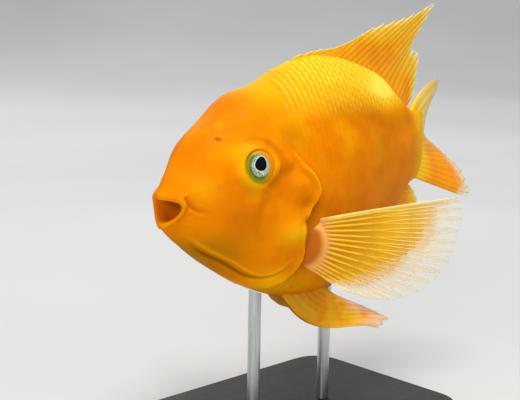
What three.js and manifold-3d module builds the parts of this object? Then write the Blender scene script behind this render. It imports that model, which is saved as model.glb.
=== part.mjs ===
// A blood parrot cichlid at life size, held swimming over a plain display stand.
// Millimetres, +Z up. The head points to -X and the fish's own left side to -Y.
import * as THREE from 'three';
import { mergeGeometries, mergeVertices } from 'three/addons/utils/BufferGeometryUtils.js';
import Module from 'manifold-3d';

const wasm = await Module();
wasm.setup();

const GAP = 0.3; // clearance between pieces that touch
const AROUND = 44; // columns round the body
const AROUND_INSIDE = 24; // columns on hidden faces under the gill covers
const EYE = { x: 34.2, y: 14.5, z: 15.2, radius: 6.4 };
const NOSTRIL = { x: 20.2, y: 9.6, z: 26, radius: 1.1 };
const COVER_RISE = 1.1; // how far the gill cover stands off the body
const COVER_DEPTH = 1.8;
const MOUTH_HEIGHT = 103; // above the floor
const BASE = { length: 132, width: 92, height: 8, corner: 14, bevel: 1.2 };
const ROD = { radius: 2.6, places: [50, 92] };

const flesh = new THREE.MeshStandardMaterial({ color: 0xf58a0c, roughness: 0.42, metalness: 0 });
const cover = new THREE.MeshStandardMaterial({ color: 0xee7f10, roughness: 0.4, metalness: 0 });
const finSkin = new THREE.MeshStandardMaterial({ color: 0xf2a243, roughness: 0.5, metalness: 0 });
const eyeball = new THREE.MeshStandardMaterial({ color: 0xa9bfa4, roughness: 0.15, metalness: 0 });
const standPaint = new THREE.MeshStandardMaterial({ color: 0x2b2c2e, roughness: 0.5, metalness: 0 });
const steel = new THREE.MeshStandardMaterial({ color: 0xb9bcc0, roughness: 0.3, metalness: 1 });

// Each ring of the body is given by its top and low points in the side view, its half width,
// how high it is widest, how far its flanks are set back, and how full its upper and lower
// quarters are. The first four line the open mouth. The snout is less round than the rest.
const RINGS = [
  { top: [13, 2], low: [13, 2], half: 0, high: 0, back: 0, upper: 1, lower: 1 },
  { top: [11, 4.2], low: [12, -0.5], half: 2.6, high: 0.2, back: 0, upper: 1, lower: 1 },
  { top: [6, 4.3], low: [7.5, -3.5], half: 4.6, high: 0.3, back: 1, upper: 1, lower: 1.2 },
  { top: [2.2, 4], low: [2.6, -4.3], half: 6.6, high: 0.4, back: 4.2, upper: 1, lower: 1.3, round: 1.4 },
  { top: [0.2, 5.5], low: [0.4, -6], half: 8.5, high: 0.4, back: 4.5, upper: 1, lower: 1.25, round: 1.4 },
  { top: [1, 8.2], low: [2.4, -7.9], half: 9, high: 0.5, back: 5.7, upper: 1, lower: 1.15, round: 1.5 },
  { top: [5.9, 15], low: [8.7, -13.7], half: 11.3, high: 0.15, back: 4.6, upper: 0.95, lower: 1.05,
    round: 1.5 },
  { top: [13.5, 24.8], low: [17.3, -20.5], half: 15.4, high: 0.05, back: 3.5, upper: 0.88, lower: 1 },
  { top: [24.4, 33], low: [28.2, -27.7], half: 18.4, high: -0.02, back: 2.5, upper: 0.86, lower: 1 },
  { top: [35.3, 41.1], low: [38.2, -33.6], half: 20.6, high: -0.06, back: 1.5, upper: 0.88, lower: 1 },
  { top: [49, 44.6], low: [50, -39.6], half: 23.4, high: -0.08, back: 0.5, upper: 0.95, lower: 1 },
  { top: [61, 50.5], low: [62, -43.4], half: 25, high: -0.08, back: 0, upper: 1.05, lower: 1 },
  { top: [76, 54.6], low: [76, -45.5], half: 24.8, high: -0.05, back: 0, upper: 1.2, lower: 1.05 },
  { top: [92, 54], low: [91, -44.5], half: 22.3, high: 0, back: 0, upper: 1.25, lower: 1.1 },
  { top: [107, 50.5], low: [104, -40.5], half: 18.8, high: 0, back: 0, upper: 1.25, lower: 1.15 },
  { top: [121, 45], low: [117, -31.5], half: 15.2, high: 0, back: 0, upper: 1.2, lower: 1.2 },
  { top: [133, 36], low: [129.5, -19.5], half: 11.3, high: 0, back: 0, upper: 1.1, lower: 1.1 },
  { top: [143, 29], low: [141, -8], half: 7.6, high: 0, back: 0, upper: 1, lower: 1 },
  { top: [152, 26], low: [151.5, -3], half: 3, high: 0, back: 0, upper: 1, lower: 1 },
];
const LIP = 4; // the ring at the mouth's edge
const TAIL = RINGS.length - 1;

// How many steps the skin takes from each ring to the next.
const STEPS = [1, 1, 1, 2, 2, 3, 4, 4, 4, 4, 4, 4, 3, 3, 3, 3, 2, 2];

function ringPoint(ring, angle) {
  const side = Math.sin(angle);
  const height = (1 + Math.cos(angle) + ring.high * side * side) / 2;
  const fullness = Math.cos(angle) > 0 ? ring.upper : ring.lower;
  return new THREE.Vector3(
    ring.low[0] + (ring.top[0] - ring.low[0]) * height + ring.back * Math.abs(side) ** (ring.round ?? 2),
    -ring.half * Math.sign(side) * Math.abs(side) ** fullness,
    ring.low[1] + (ring.top[1] - ring.low[1]) * height,
  );
}

// Turns a sphere's grid into the body: its columns run from the mouth to the tail.
function loft(firstRing, around, mostSteps) {
  const stops = [];
  for (let ring = firstRing; ring < TAIL; ring += 1) {
    const steps = Math.min(STEPS[ring], mostSteps);
    for (let step = 0; step < steps; step += 1) stops.push(ring + step / steps);
  }
  stops.push(TAIL);
  if (firstRing > 0) stops.unshift(firstRing);
  stops.push(TAIL);
  const last = stops.length - 1;
  const geometry = new THREE.SphereGeometry(1, around, last);
  const position = geometry.attributes.position;
  const centreOf = (stop) => {
    const ring = RINGS[stop];
    return new THREE.Vector3((ring.top[0] + ring.low[0]) / 2, 0, (ring.top[1] + ring.low[1]) / 2);
  };
  for (let column = 0; column <= around; column += 1) {
    const angle = (2 * Math.PI * (column % around)) / around;
    const line = new THREE.CatmullRomCurve3(
      RINGS.map((ring) => ringPoint(ring, angle)), false, 'catmullrom', 0.5,
    );
    for (let row = 0; row <= last; row += 1) {
      let point = line.getPoint(stops[row] / TAIL);
      if (row === last) point = centreOf(TAIL).add(new THREE.Vector3(1.5, 0, 0));
      if (row === 0) point = centreOf(firstRing);
      position.setXYZ(row * (around + 1) + column, point.x, point.y, point.z);
    }
  }
  return weld(geometry);
}

// Leaves only positions, with shared vertices merged.
function weld(geometry) {
  const bare = geometry.clone();
  for (const name of Object.keys(bare.attributes)) {
    if (name !== 'position') bare.deleteAttribute(name);
  }
  const welded = mergeVertices(bare, 1e-4);
  const corners = welded.index.array;
  const kept = [];
  for (let i = 0; i < corners.length; i += 3) {
    const [a, b, c] = [corners[i], corners[i + 1], corners[i + 2]];
    if (a !== b && b !== c && c !== a) kept.push(a, b, c);
  }
  const position = welded.attributes.position;
  const [p, q, r] = [new THREE.Vector3(), new THREE.Vector3(), new THREE.Vector3()];
  let volume = 0;
  for (let i = 0; i < kept.length; i += 3) {
    p.fromBufferAttribute(position, kept[i]);
    q.fromBufferAttribute(position, kept[i + 1]);
    r.fromBufferAttribute(position, kept[i + 2]);
    volume += p.dot(q.cross(r)) / 6;
  }
  if (volume < 0) kept.reverse();
  welded.setIndex(kept);
  welded.computeVertexNormals();
  return welded;
}

// Moves each vertex along its own normal by a length that may depend on where it is.
function swell(geometry, length) {
  const moved = geometry.clone();
  const { position, normal } = moved.attributes;
  const point = new THREE.Vector3();
  const away = new THREE.Vector3();
  for (let i = 0; i < position.count; i += 1) {
    point.fromBufferAttribute(position, i);
    away.fromBufferAttribute(normal, i);
    point.addScaledVector(away, typeof length === 'function' ? length(point) : length);
    position.setXYZ(i, point.x, point.y, point.z);
  }
  moved.computeVertexNormals();
  return moved;
}

function solid(geometry) {
  const closed = weld(geometry);
  return new wasm.Manifold(new wasm.Mesh({
    numProp: 3,
    vertProperties: new Float32Array(closed.attributes.position.array),
    triVerts: new Uint32Array(closed.index.array),
  }));
}

function largest(body) {
  return body.decompose().sort((a, b) => b.volume() - a.volume())[0];
}

function meshOf(name, body, material) {
  const { vertProperties, triVerts } = largest(body).getMesh();
  const geometry = new THREE.BufferGeometry();
  geometry.setAttribute('position', new THREE.Float32BufferAttribute(vertProperties, 3));
  geometry.setIndex(Array.from(triVerts));
  geometry.computeVertexNormals();
  const mesh = new THREE.Mesh(geometry, material);
  mesh.name = name;
  return mesh;
}

// A block seen as this outline from the side, reaching across from one y to another.
function sideBlock(outline, fromY, toY) {
  const shape = new THREE.Shape(outline.map(([x, z]) => new THREE.Vector2(x, z)));
  const block = new THREE.ExtrudeGeometry(shape, { depth: toY - fromY, bevelEnabled: false });
  block.rotateX(Math.PI / 2);
  block.translate(0, toY, 0);
  return solid(block);
}

// A closed plate: place(u, v, side) gives the point on either face, with u and v from 0 to 1.
function plate(across, along, place) {
  const face = new THREE.PlaneGeometry(1, 1, across, along);
  const back = new THREE.PlaneGeometry(1, 1, across, along);
  const rim = new THREE.PlaneGeometry(1, 1, 2 * (across + along), 1);
  const rows = along + 1;
  for (let row = 0; row < rows; row += 1) {
    for (let column = 0; column <= across; column += 1) {
      const index = row * (across + 1) + column;
      const near = place(column / across, row / along, 1);
      const far = place(column / across, row / along, -1);
      face.attributes.position.setXYZ(index, near.x, near.y, near.z);
      back.attributes.position.setXYZ(index, far.x, far.y, far.z);
    }
  }
  back.setIndex(Array.from(back.index.array).reverse());
  const edge = 2 * (across + along);
  for (let i = 0; i <= edge; i += 1) {
    let column = Math.min(i, across);
    let row = Math.min(Math.max(i - across, 0), along);
    if (i > across + along) column = Math.max(2 * across + along - i, 0);
    if (i > 2 * across + along) row = edge - i;
    const near = place(column / across, row / along, 1);
    const far = place(column / across, row / along, -1);
    rim.attributes.position.setXYZ(i, far.x, far.y, far.z);
    rim.attributes.position.setXYZ(edge + 1 + i, near.x, near.y, near.z);
  }
  return mergeGeometries([face, back, rim].map((part) => {
    part.deleteAttribute('normal');
    part.deleteAttribute('uv');
    return part;
  }));
}

function pathOf(points) {
  return new THREE.CatmullRomCurve3(
    points.map(([x, y, z]) => new THREE.Vector3(x, y, z)), false, 'catmullrom', 0.5,
  );
}

// A fin is a plate between a root line and a tip line, of which it may fill only a span. Its
// rays are ridges in the membrane: every second column is thicker.
function fin({ root, tip, span = [0, 1], rays, along, thickRoot, thickTip, ridge, outward, bend }) {
  const rootLine = pathOf(root);
  const tipLine = pathOf(tip);
  const across = 2 * rays;
  return plate(across, along, (share, v, side) => {
    const u = span[0] + (span[1] - span[0]) * share;
    const start = rootLine.getPoint(u);
    const end = tipLine.getPoint(u);
    const point = start.clone().lerp(end, v);
    point.add(bend(u, v, end));
    const onRay = Math.round(share * across) % 2;
    const thick = thickRoot + (thickTip - thickRoot) * v ** 0.7 + ridge * onRay * (1 - 0.5 * v);
    return point.addScaledVector(outward, (side * thick) / 2);
  });
}

const Y = new THREE.Vector3(0, 1, 0);
const still = () => new THREE.Vector3();

// The skin swells into a rim round each eye and a cheek below it.
function relief(point) {
  const fromEye = Math.hypot(point.x - EYE.x, point.z - EYE.z);
  const flank = Math.min(1, Math.abs(point.y) / 10);
  const rim = 1.7 * Math.exp(-(((fromEye - 6.5) / 4.5) ** 2));
  const cheek = 0.9 * Math.exp(-(((point.x - 32) / 10) ** 2 + ((point.z + 2) / 6) ** 2));
  return flank * (rim + cheek);
}

const skin = swell(loft(0, AROUND, 9), relief);
const closedSkin = swell(loft(LIP + 1, AROUND, 9), relief);
const coarseSkin = loft(LIP + 1, AROUND_INSIDE, 2);
const body = solid(skin);
const clearance = solid(swell(skin, GAP));
const inside = solid(swell(coarseSkin, -COVER_DEPTH));
const pocket = solid(swell(coarseSkin, -COVER_DEPTH - GAP));
const rise = (extra) => (point) => {
  const towardMargin = Math.min(1, Math.max(0, (point.x - 28) / 26));
  return extra + 0.15 + COVER_RISE * towardMargin;
};
const raised = solid(swell(closedSkin, rise(0)));
const raisedClear = solid(swell(closedSkin, rise(GAP)));

// The line where the head ends, seen from the side, runs down the gill cover's rear margin.
const GILL_LINE = [
  [52, 70], [50, 44], [46.5, 33], [47, 26], [50.6, 20.6], [55.7, 15.7], [59.2, 10.2], [60.4, 4.6],
  [59, -1.3], [55.8, -6], [54.2, -10.5], [54.4, -16], [54.9, -21.4], [54.6, -26.5], [53.8, -31],
  [56, -36], [62, -41], [66, -60],
];
const STEM_LINE = [[134, 70], [131, 20], [129, 0], [126, -60]];
const COVER_FRONT = [
  [46, -34], [37, -29.6], [32, -22], [29.4, -13], [29.2, -4], [31.4, 3], [37, 6.4], [43.4, 11.5],
  [44.4, 20],
];

function shifted(line, dx) {
  return line.map(([x, z]) => [x + dx, z]);
}

const beforeGill = sideBlock([[-20, 70], [-20, -60], ...shifted(GILL_LINE, 0).reverse()], -60, 60);
const afterGill = sideBlock(
  [...shifted(GILL_LINE, GAP), [126, -60], ...STEM_LINE.slice(0, -1).reverse()], -60, 60,
);
const afterStem = sideBlock([...shifted(STEM_LINE, GAP), [180, -60], [180, 70]], -60, 60);

const margin = GILL_LINE.slice(3, 15);
const coverOutline = [...margin, ...COVER_FRONT];

function grownOutline(outline, distance) {
  const centre = outline.reduce(([x, z], point) => [x + point[0], z + point[1]], [0, 0])
    .map((sum) => sum / outline.length);
  return outline.map(([x, z]) => {
    const reach = Math.hypot(x - centre[0], z - centre[1]);
    const scale = 1 + (distance * 1.25) / reach;
    return [centre[0] + (x - centre[0]) * scale, centre[1] + (z - centre[1]) * scale];
  });
}

const sides = [{ name: 'left', sign: -1 }, { name: 'right', sign: 1 }];
const fish = new THREE.Group();
let head = body.intersect(beforeGill);
const coverClear = {};

for (const { name, sign } of sides) {
  const [from, to] = sign < 0 ? [-60, -6] : [6, 60];
  const coverBlock = sideBlock(coverOutline, from, to);
  const slotBlock = sideBlock(grownOutline(coverOutline, GAP), from, to);
  const lid = largest(raised.intersect(coverBlock).subtract(inside));
  coverClear[name] = raisedClear.intersect(slotBlock).subtract(pocket);
  head = head.subtract(slotBlock.subtract(pocket));
  fish.add(meshOf(`gill_cover_${name}`, lid, cover));

  const socket = new THREE.SphereGeometry(EYE.radius + GAP, 16, 12);
  socket.translate(EYE.x, sign * EYE.y, EYE.z);
  head = head.subtract(solid(socket));
  const ball = new THREE.SphereGeometry(EYE.radius, 16, 12);
  ball.translate(EYE.x, sign * EYE.y, EYE.z);
  fish.add(meshOf(`eye_${name}`, solid(ball), eyeball));

  const nostril = new THREE.SphereGeometry(NOSTRIL.radius, 8, 6);
  nostril.translate(NOSTRIL.x, sign * NOSTRIL.y, NOSTRIL.z);
  head = head.subtract(solid(nostril));
}

fish.add(meshOf('head', head, flesh));
fish.add(meshOf('trunk', body.intersect(afterGill), flesh));
fish.add(meshOf('tail_stem', body.intersect(afterStem), flesh));

// The unpaired fins stand on the midline. The tail fin is cupped to the fish's right.
const dorsal = fin({
  root: [[62, 0, 48], [76, 0, 52], [92, 0, 51.5], [107, 0, 48], [121, 0, 42], [133, 0, 33], [140, 0, 28]],
  tip: [
    [70, 0, 54.8], [84, 0, 56.8], [96, 0, 57.7], [107, 0, 60.8], [119, 0, 65.4], [134, 0, 68.3],
    [147, 0, 71.4], [158, 0, 75], [150.5, 0, 65], [144.5, 0, 56], [150.6, 0, 52.6], [149.5, 0, 43],
    [146, 0, 33],
  ],
  rays: 26, along: 6, thickRoot: 2.2, thickTip: 0.5, ridge: 0.6, outward: Y,
  bend: still,
});
const anal = fin({
  root: [[101, 0, -38], [109, 0, -36], [117, 0, -28], [125, 0, -21], [134, 0, -11], [141, 0, -5]],
  tip: [
    [104, 0, -44], [114, 0, -42.6], [126, 0, -40.4], [138, 0, -39.6], [150, 0, -38.4], [159, 0, -31],
    [156, 0, -20], [151, 0, -11], [147, 0, -6.5],
  ],
  rays: 16, along: 5, thickRoot: 2, thickTip: 0.5, ridge: 0.6, outward: Y,
  bend: still,
});
const caudalLobes = [['upper', [0, 0.494]], ['lower', [0.506, 1]]];
for (const [lobe, span] of caudalLobes) {
  const caudal = fin({
    root: [[144, 0, 27.5], [148.5, 0, 19], [149, 0, 11], [149, 0, 4], [147, 0, -2.5]],
    tip: [
      [188.4, 17, 38.9], [191, 20, 34], [187, 22, 25.3], [184.6, 23, 18], [184.2, 22, 11.3],
      [186.8, 16.5, 6.1], [189.2, 12, 1.9], [191, 5, -3.6], [190.6, 0.5, -9.5], [188.6, -3, -14.4],
      [182, -3, -15],
    ],
    span, rays: 8, along: 7, thickRoot: 2.4, thickTip: 0.5, ridge: 0.6, outward: Y,
    bend: (u, v, end) => {
      const bulge = 4 * Math.max(0, 1 - u / 0.3) ** 2 * v * (1 - v);
      return new THREE.Vector3(-3.6 * bulge, end.y * (v ** 1.4 - v), 3.3 * bulge);
    },
  });
  fish.add(meshOf(`fin_caudal_${lobe}`, solid(caudal).subtract(clearance), finSkin));
}
fish.add(meshOf('fin_dorsal', solid(dorsal).subtract(clearance), finSkin));
fish.add(meshOf('fin_anal', solid(anal).subtract(clearance), finSkin));

// The pectoral fins flare out behind the gill covers. The pelvic fins trail below the belly.
const FLARE = THREE.MathUtils.degToRad(46);
for (const { name, sign } of sides) {
  const outX = Math.cos(FLARE);
  const outY = sign * Math.sin(FLARE);
  const inPlane = (reach, rise) => [61 + reach * outX, sign * 24 + reach * outY, -12.5 + rise];
  const shape = fin({
    root: [[-7, 3.4], [-6.4, 0], [-6, -4], [-6.4, -8], [-8, -11.6]].map(([a, b]) => inPlane(a, b)),
    tip: [
      [54, 15.6], [55.8, 8.5], [54, -1.8], [51.4, -10], [44.6, -19.6], [33, -26], [22, -26.4], [10, -23.4],
    ].map(([a, b]) => inPlane(a, b)),
    rays: 14, along: 7, thickRoot: 4.2, thickTip: 0.5, ridge: 0.6,
    outward: new THREE.Vector3(Math.sin(FLARE), -sign * Math.cos(FLARE), 0),
    bend: (u, v) => new THREE.Vector3(0, -sign * 1.5 * Math.sin(Math.PI * v), 0),
  });
  const cut = solid(shape).subtract(clearance).subtract(coverClear[name]);
  fish.add(meshOf(`fin_pectoral_${name}`, cut, finSkin));

  const spread = name === 'left' ? 1 : 0.5;
  const drop = name === 'left' ? 64 : 34;
  const pelvic = fin({
    root: [[59, 5, -39], [66, 6, -40], [73, 6.5, -41], [80, 7, -41]].map(([x, y, z]) => [x, sign * y, z]),
    tip: [[102, 15, -60.4], [108.3, 15, -57.4], [105, 13.5, -55], [97, 11, -50.6], [89, 7, -46.8]]
      .map(([x, y, z]) => [x, sign * (7 + y * spread), z]),
    rays: 6, along: 7, thickRoot: 3, thickTip: 0.5, ridge: 0.6,
    outward: new THREE.Vector3(0.1, sign * 0.9, 0.42).normalize(),
    bend: (u, v) => new THREE.Vector3(0, 0, -drop * (1 - u) * v * (1 - v) ** 2),
  });
  fish.add(meshOf(`fin_pelvic_${name}`, solid(pelvic).subtract(clearance), finSkin));
}

// The stand: a flat base and two short rods that end against the belly.
const MID_X = 71;
const footprint = new THREE.Shape();
const corners = [[1, -1, -0.5], [1, 1, 0], [-1, 1, 0.5], [-1, -1, 1]];
for (const [alongX, alongY, turn] of corners) {
  const centre = new THREE.Vector2(
    alongX * (BASE.length / 2 - BASE.corner), alongY * (BASE.width / 2 - BASE.corner),
  );
  for (let step = 0; step <= 6; step += 1) {
    const angle = Math.PI * (turn + step / 12);
    const x = centre.x + (BASE.corner - BASE.bevel) * Math.cos(angle);
    const y = centre.y + (BASE.corner - BASE.bevel) * Math.sin(angle);
    if (footprint.curves.length === 0 && footprint.currentPoint.length() === 0) footprint.moveTo(x, y);
    else footprint.lineTo(x, y);
  }
}
const slab = new THREE.ExtrudeGeometry(footprint, {
  depth: BASE.height - 2 * BASE.bevel,
  bevelThickness: BASE.bevel, bevelSize: BASE.bevel, bevelSegments: 1,
});
slab.translate(MID_X, 0, BASE.bevel - MOUTH_HEIGHT);
fish.add(meshOf('stand_base', solid(slab), standPaint));

ROD.places.forEach((x, index) => {
  const foot = BASE.height + GAP - MOUTH_HEIGHT;
  const rod = new THREE.CylinderGeometry(ROD.radius, ROD.radius, -30 - foot, 16);
  rod.rotateX(Math.PI / 2);
  rod.translate(x, 0, (foot - 30) / 2);
  fish.add(meshOf(`stand_rod_${index + 1}`, solid(rod).subtract(clearance), steel));
});

// The origin is the middle of the underside.
const box = new THREE.Box3().setFromObject(fish);
const middle = box.getCenter(new THREE.Vector3());
fish.position.set(-middle.x, -middle.y, MOUTH_HEIGHT);

const model = new THREE.Group();
model.add(fish);

export default model;
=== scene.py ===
# A blood parrot cichlid at life size, held swimming over a plain display stand.
import bisect
import functools
import math
import random

import bmesh
import bpy
from mathutils import Matrix, Vector
from mathutils.bvhtree import BVHTree
from mathutils.kdtree import KDTree


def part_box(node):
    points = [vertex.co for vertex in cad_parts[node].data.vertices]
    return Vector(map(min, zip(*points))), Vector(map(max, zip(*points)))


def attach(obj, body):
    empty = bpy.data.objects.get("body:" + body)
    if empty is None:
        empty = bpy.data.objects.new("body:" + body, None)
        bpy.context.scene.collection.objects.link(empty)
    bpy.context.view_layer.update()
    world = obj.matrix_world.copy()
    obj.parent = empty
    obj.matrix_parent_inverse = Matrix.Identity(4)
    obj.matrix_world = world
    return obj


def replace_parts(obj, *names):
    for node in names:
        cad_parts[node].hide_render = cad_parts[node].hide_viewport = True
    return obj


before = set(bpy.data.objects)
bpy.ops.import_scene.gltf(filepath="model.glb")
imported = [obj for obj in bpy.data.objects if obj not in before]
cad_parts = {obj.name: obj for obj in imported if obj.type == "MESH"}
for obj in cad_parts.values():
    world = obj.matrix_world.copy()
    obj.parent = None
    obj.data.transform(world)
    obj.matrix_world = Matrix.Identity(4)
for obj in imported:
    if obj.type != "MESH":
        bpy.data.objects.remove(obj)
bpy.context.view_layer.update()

# The skin of the head, flanks, gill covers and tail stem is one soft, wet cover drawn over the
# flesh. It is one closed shell that starts deep in the mouth and ends in the root of the tail
# fin, pushed out and creased round the eyes, nostrils, jaws and gill covers.
MM = 0.001
EYE = Vector((34.2, 14.5, 15.2))
eye_low, eye_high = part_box("eye_left")
to_frame = (eye_low + eye_high) / 2 - Vector((EYE.x, -EYE.y, EYE.z)) * MM

# Each ring: top x and z, low x and z, half width, how high it is widest, how far its flanks
# are set back, and how full its upper and lower quarters are.
RINGS = (
    (13, 2, 13, 2, 0, 0, 0, 1, 1),
    (11, 4.2, 12, -0.5, 2.6, 0.2, 0, 1, 1),
    (6, 4.3, 7.5, -3.5, 4.6, 0.3, 1, 1, 1.2),
    (2.2, 4, 2.6, -4.3, 6.6, 0.4, 4.2, 1, 1.3),
    (0.2, 5.5, 0.4, -6, 8.5, 0.4, 4.5, 1, 1.25),
    (1, 8.2, 2.4, -7.9, 9, 0.5, 5.7, 1, 1.15),
    (5.9, 15, 8.7, -13.7, 11.3, 0.15, 4.6, 0.95, 1.05),
    (13.5, 24.8, 17.3, -20.5, 15.4, 0.05, 3.5, 0.88, 1),
    (24.4, 33, 28.2, -27.7, 18.4, -0.02, 2.5, 0.86, 1),
    (35.3, 41.1, 38.2, -33.6, 20.6, -0.06, 1.5, 0.88, 1),
    (49, 44.6, 50, -39.6, 23.4, -0.08, 0.5, 0.95, 1),
    (61, 50.5, 62, -43.4, 25, -0.08, 0, 1.05, 1),
    (76, 54.6, 76, -45.5, 24.8, -0.05, 0, 1.2, 1.05),
    (92, 54, 91, -44.5, 22.3, 0, 0, 1.25, 1.1),
    (107, 50.5, 104, -40.5, 18.8, 0, 0, 1.25, 1.15),
    (121, 45, 117, -31.5, 15.2, 0, 0, 1.2, 1.2),
    (133, 36, 129.5, -19.5, 11.3, 0, 0, 1.1, 1.1),
    (143, 29, 141, -8, 7.6, 0, 0, 1, 1),
    (152, 26, 151.5, -3, 3, 0, 0, 1, 1),
)
ROUND = {3: 1.4, 4: 1.4, 5: 1.5, 6: 1.5}  # the snout is less round in front than the rest
TAIL = len(RINGS) - 1
LIP = 4
# Rows of the shell between each ring and the next, closest on the face.
ROWS = (6, 8, 10, 8, 8, 16, 20, 22, 22, 26, 30, 14, 12, 11, 11, 9, 7, 6)
COLUMNS = 320
SINK = 0.3  # how far the skin lies under the scales
LIMB = 5.4  # where the skin meets the eyeball
GAZE = Vector((33, 15.9))  # where the eyeball shows, seen from the side
STEPS = 160  # how many steps a stroke is drawn in


def in_frame(point):
    """A point of the fish, in mm from its snout, in the frame."""
    return Vector(point) * MM + to_frame


def through(points, share):
    """The point at this share of a smooth line through these points."""
    spot = min(max(share, 0), 1) * (len(points) - 1)
    first = min(int(spot), len(points) - 2)
    t = spot - first
    b, c = points[first], points[first + 1]
    a = points[first - 1] if first else 2 * b - c
    d = points[first + 2] if first + 2 < len(points) else 2 * c - b
    return (2 * b + (c - a) * t + (2 * a - 5 * b + 4 * c - d) * t ** 2
            + (3 * b - a - 3 * c + d) * t ** 3) / 2


@functools.lru_cache(maxsize=None)
def ring_point(ring, angle):
    top_x, top_z, low_x, low_z, half, high, back, upper, lower = RINGS[ring]
    side = math.sin(angle)
    height = (1 + math.cos(angle) + high * side ** 2) / 2
    fullness = upper if math.cos(angle) > 0 else lower
    return Vector((
        low_x + (top_x - low_x) * height + back * abs(side) ** ROUND.get(ring, 2),
        -half * math.copysign(abs(side) ** fullness, side),
        low_z + (top_z - low_z) * height,
    ))


def body_point(stop, angle):
    """The plain body's surface at this ring, or between rings, and angle from the back."""
    first = min(int(stop), TAIL - 1)
    near = [ring_point(ring, angle) for ring in range(max(first - 1, 0), min(first + 3, TAIL + 1))]
    if first == 0:
        near.insert(0, 2 * near[0] - near[1])
    if first + 2 > TAIL:
        near.append(2 * near[-1] - near[-2])
    return through(near, (1 + stop - first) / 3)


class Stroke:
    """A line drawn on the side of the fish. near() gives the distance from it, which is
    positive on the line's left, and the share of the line that is passed there."""

    def __init__(self, *points):
        corners = [Vector(point) for point in points]
        self.line = [through(corners, step / STEPS) for step in range(STEPS + 1)]
        self.tree = KDTree(len(self.line))
        for i, (x, z) in enumerate(self.line):
            self.tree.insert((x, 0, z), i)
        self.tree.balance()

    def near(self, x, z):
        spot, index, distance = self.tree.find((x, 0, z))
        way = self.line[min(index + 1, STEPS)] - self.line[max(index - 1, 0)]
        turn = way.x * (z - spot.z) - way.y * (x - spot.x)
        return math.copysign(distance, turn), index / STEPS


gill_edge = Stroke(
    (46, 25), (48.6, 21.8), (51.1, 18.6), (53, 15.9), (54.9, 13.9), (56.7, 12.4), (58.4, 9.9),
    (59.7, 7.2), (60.3, 4.2), (59, 1.4), (57.2, -1), (55.4, -3.4), (54.1, -6.4), (53.5, -9.4),
    (53.5, -12.6), (54.2, -16.8), (54.9, -21.4), (53.6, -26.5), (50.6, -31.2), (46, -35), (39, -35.5),
)
nape = Stroke((47, 26), (46.5, 33), (50, 44), (52, 60))
cheek_edge = Stroke((36, 4.6), (33.9, 0.5), (33.2, -4), (33.8, -10), (35.6, -15))
hollow = Stroke((36, 6.2), (38.8, 9.3), (42, 11.6), (45.5, 12.9), (49, 12.8))
jaw_edge = Stroke((9.6, -11.4), (16.7, -16.7), (26, -21.7), (37.6, -28.5), (45.4, -27.5), (51.3, -20.7))
mouth_fold = Stroke((5.4, 6), (6.2, 4.4), (8.1, 1.8), (10.5, 0.2), (12.8, -0.5), (15.5, -0.9))
brow = Stroke((22, 25.6), (27, 24.8), (32, 25.4), (38, 23.4), (43, 18))


def ease(value, low, high):
    t = min(max((value - low) / (high - low), 0), 1)
    return t * t * (3 - 2 * t)


def bell(distance, width):
    return math.exp(-(distance / width) ** 2)


def mound(x, z, centre_x, centre_z, wide, tall):
    return math.exp(-((x - centre_x) / wide) ** 2 - ((z - centre_z) / tall) ** 2)


def fades(share, start=0.12, end=0.12):
    return ease(share, 0, start) * ease(1 - share, 0, end)


def scaled(x, z):
    """1 where scales cover the skin, 0 on the bare head."""
    behind = gill_edge.near(x, z)[0]
    if z > 26:
        behind = -nape.near(x, z)[0]
    return ease(behind, 0.6, 4)


def eye_relief(x, z):
    from_eye = math.hypot(x - GAZE.x, z - GAZE.y)
    above = ease(x - GAZE.x + z - GAZE.y, 0, 9)
    out = 1.7 * bell(math.hypot(x - EYE.x, z - EYE.z) - 6.5, 4.5)
    out -= 3.6 * ease(LIMB + 0.3 - from_eye, 0, 0.6)
    return out - 0.8 * above * bell(from_eye - 9, 1.3) - 0.15 * bell(from_eye - 11, 1.6)


def gill_relief(x, z):
    behind, share = gill_edge.near(x, z)
    low = 0.35 + 0.65 * ease(-z, -6, 4)
    crisp = 0.3 + 1.3 * ease(z - 12, 0, 8)  # the margin is soft at its upper end
    cover = ease(x, 30, 52) * ease(-behind, -0.25 - crisp, 0.25 + crisp) * ease(36 - z, 0, 12)
    out = 1.5 * cover + 0.4 * bell(behind + 1.3, 1.1) * fades(share, 0.2, 0.1) * ease(-behind, 0, 0.4)
    slit = (bell(behind - 0.8, 0.9) + 0.6 * bell(behind - 3, 2.8)) * ease(behind, -0.2, 0.5)
    out -= 1.2 * low * slit * fades(share, 0.1, 0.25)
    out += 1.5 * mound(x, z, 49.6, 7.4, 5, 4.2) + 1.7 * mound(x, z, 47.4, -10.8, 6, 5.5)
    out -= 0.5 * bell(behind + 3.4, 1.1) * ease(z, 2, 6) * ease(14 - z, 0, 3)
    out -= 1.3 * mound(x, z, 53.5, -0.2, 3.4, 2.8) + 1.1 * mound(x, z, 52.6, -6.9, 1.5, 2.2)
    fold, share = hollow.near(x, z)
    out += 0.6 * bell(fold - 4.2, 2.4) * fades(share, 0.3, 0.3) - 1.1 * bell(fold, 2.1) * fades(share)
    fold, share = cheek_edge.near(x, z)
    return out - 0.55 * bell(fold, 1.7) * fades(share, 0.3, 0.3) + 0.3 * bell(fold - 3, 2) * fades(share)


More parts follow.
